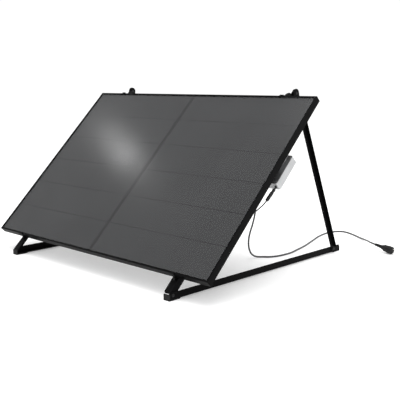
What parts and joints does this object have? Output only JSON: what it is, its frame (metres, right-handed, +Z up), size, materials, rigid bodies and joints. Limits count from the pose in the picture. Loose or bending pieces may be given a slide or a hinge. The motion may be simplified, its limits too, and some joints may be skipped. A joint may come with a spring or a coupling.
{
  "type": "plug-in solar panel kit",
  "caption": "Framed solar module in landscape at 45 degrees on two folding triangle stands, with a micro-inverter under it and a mains lead with a plug.",
  "frame": {"origin": "on the ground, at the centre of the stands' footprint and of the object's box without the mains lead", "axes": "+X along the module's long side, to the right when looking at the glass from the front; +Y from the low front edge to the rear, the way the mains lead leaves; +Z up"},
  "size_m": [1.823, 1.8681, 0.9583],
  "materials": {
    "frame_black": "black anodised, satin",
    "stand_black": "black powder-coated aluminium angle, fine texture",
    "steel": "stainless steel, fine turned",
    "glass": "low-iron solar glass, lightly textured",
    "cells": "black monocrystalline half cells under film",
    "backsheet": "black film, fine grain",
    "black_plastic": "moulded, lightly sparked",
    "inverter_case": "die cast, satin",
    "circuit_board": "potted circuit board",
    "dc_lead": "cross-linked solar cable sheath, satin",
    "mains_lead": "rubber cable sheath, satin",
    "plug_rubber": "moulded rubber, matt",
    "foot_rubber": "matt",
    "nickel": "nickel plated"
  },
  "bodies": {
    "panel_assembly": {"frame_rail_bottom": "frame_black", "frame_rail_top": "frame_black", "frame_rail_left": "frame_black", "frame_rail_right": "frame_black", "corner_key_top_left": "steel", "corner_key_top_right": "steel", "corner_key_bottom_left": "steel", "corner_key_bottom_right": "steel", "inverter_hanger": "steel", "inverter_bolt": "steel", "front_glass": "glass", "cell_matrix": "cells", "backsheet": "backsheet", "junction_box_bottom": "black_plastic", "junction_box_middle": "black_plastic", "junction_box_top": "black_plastic", "ac_gland": "black_plastic", "pv_socket_negative": "black_plastic", "pv_plug_negative": "black_plastic", "pv_socket_positive": "black_plastic", "pv_plug_positive": "black_plastic", "inverter_case": "inverter_case", "inverter_cover": "inverter_case", "inverter_board": "circuit_board", "ac_clip": "black_plastic", "pv_lead_negative": "dc_lead", "inverter_lead_negative": "dc_lead", "pv_lead_positive": "dc_lead", "inverter_lead_positive": "dc_lead", "ac_cable": "mains_lead", "ac_lead_held": "mains_lead", "mains_plug_body": "plug_rubber", "plug_pin_live": "nickel", "plug_pin_neutral": "nickel", "sloped_rail_right": "stand_black", "end_clamp_top_right": "stand_black", "end_clamp_bottom_right": "stand_black", "clamp_bolt_top_right": "steel", "clamp_bolt_bottom_right": "steel", "apex_pivot_rivet_right": "steel", "sloped_rail_left": "stand_black", "end_clamp_top_left": "stand_black", "end_clamp_bottom_left": "stand_black", "clamp_bolt_top_left": "steel", "clamp_bolt_bottom_left": "steel", "apex_pivot_rivet_left": "steel"},
    "base_right": {"base_rail_right": "stand_black", "foot_pad_front_right": "foot_rubber", "foot_pad_rear_right": "foot_rubber", "front_pivot_rivet_right": "steel", "foot_nut_right": "steel"},
    "leg_right": {"rear_leg_right": "stand_black", "foot_bolt_right": "steel"},
    "base_left": {"base_rail_left": "stand_black", "foot_pad_front_left": "foot_rubber", "foot_pad_rear_left": "foot_rubber", "front_pivot_rivet_left": "steel", "foot_nut_left": "steel"},
    "leg_left": {"rear_leg_left": "stand_black", "foot_bolt_left": "steel"}
  },
  "joints": [
    {"name": "base_right_fold", "type": "hinge", "parent": "panel_assembly", "child": "base_right", "pos_m": [0.6605, -0.678, 0.025], "axis": [1, 0, 0], "range_deg": [0, 43.8]},
    {"name": "leg_right_fold", "type": "hinge", "parent": "panel_assembly", "child": "leg_right", "pos_m": [0.6648, 0.23134, 0.93434], "axis": [1, 0, 0], "range_deg": [-68, 0]},
    {"name": "base_left_fold", "type": "hinge", "parent": "panel_assembly", "child": "base_left", "pos_m": [-0.6605, -0.678, 0.025], "axis": [1, 0, 0], "range_deg": [0, 43.8]},
    {"name": "leg_left_fold", "type": "hinge", "parent": "panel_assembly", "child": "leg_left", "pos_m": [-0.6648, 0.23134, 0.93434], "axis": [1, 0, 0], "range_deg": [-68, 0]}
  ]
}
